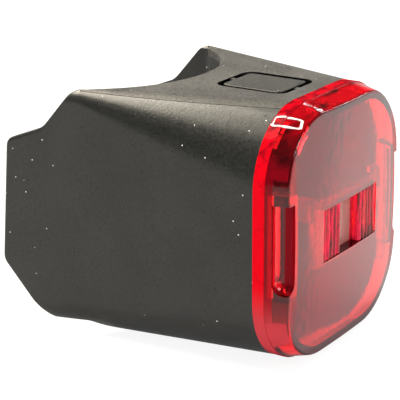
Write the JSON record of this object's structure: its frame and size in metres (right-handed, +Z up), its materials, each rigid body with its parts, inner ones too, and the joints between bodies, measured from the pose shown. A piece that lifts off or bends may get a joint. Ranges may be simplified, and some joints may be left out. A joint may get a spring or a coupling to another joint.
{
  "type": "rear bicycle light",
  "caption": "Block-shaped rear bicycle light: dark shell with saddle back for a seat post, top push button, domed clear red lens with fluted window, charging flap.",
  "frame": {"origin": "middle of the underside, on the plane that the light rests on, half way along its whole depth", "axes": "+Z up along the seat post, lens facing -Y, +Y toward the wings, +X to the right seen from the wings' side looking at the back of the light towards the lens"},
  "size_m": [0.0416, 0.0554, 0.042],
  "materials": {
    "shell_black": "fine matte charcoal plastic",
    "panel_black": "fine-grained charcoal plastic",
    "seal_rubber": "soft black silicone",
    "lens_red": "clear red, polished",
    "optic_red": "clear red, fluted",
    "frame_black": "black, satin",
    "reflector_white": "white, glossy",
    "board_white": "white solder mask",
    "led_body": "yellow gel in a white body",
    "screw_steel": "zinc-plated steel",
    "board_green": "green solder mask",
    "chip_black": "moulded black",
    "header_black": "moulded black",
    "switch_steel": "stamped steel cover",
    "plunger_black": "moulded black",
    "cell_foil": "laminated foil pouch",
    "foam_grey": "closed-cell foam",
    "lead_cover": "silicone wire cover",
    "plug_white": "off-white nylon",
    "port_steel": "nickel-plated steel",
    "flap_rubber": "soft matte rubber",
    "cradle_black": "matte, fibre-filled",
    "pad_rubber": "matte, grippy"
  },
  "bodies": {
    "shell": {"housing": "shell_black", "top_panel": "panel_black", "button_seal": "seal_rubber", "lens": "lens_red", "fluted_optic": "optic_red", "inner_frame": "frame_black", "frame_seal": "seal_rubber", "led_reflector": "reflector_white", "led_board": "board_white", "leds": "led_body", "led_board_screws": "screw_steel", "control_board": "board_green", "board_screws": "screw_steel", "board_chips": "chip_black", "board_header": "header_black", "tact_switch": "switch_steel", "battery_cell": "cell_foil", "cell_guard": "board_green", "battery_pad": "foam_grey", "battery_leads": "lead_cover", "battery_plug": "plug_white", "battery_socket": "plug_white", "charge_port": "port_steel", "flap_anchor": "flap_rubber", "strap_cradle": "cradle_black", "cradle_screws": "screw_steel", "saddle_pad": "pad_rubber"},
    "button": {"power_button": "panel_black"},
    "plunger": {"switch_plunger": "plunger_black"},
    "flap": {"usb_flap": "flap_rubber"}
  },
  "joints": [
    {"name": "button_slide", "type": "slide", "parent": "shell", "child": "button", "axis": [0, 0, -1], "range_m": [0, 0.0005], "stiffness_N_per_m": 2500, "springref_m": -0.0003},
    {"name": "plunger_slide", "type": "slide", "parent": "shell", "child": "plunger", "axis": [0, 0, -1], "range_m": [0, 0.0005]},
    {"name": "flap_hinge", "type": "hinge", "parent": "shell", "child": "flap", "pos_m": [0, -0.01265, 0.00005], "axis": [1, 0, 0], "range_deg": [0, 110]}
  ],
  "couplings": [
    {"joint": "plunger_slide", "follows": "button_slide", "ratio": 1}
  ]
}
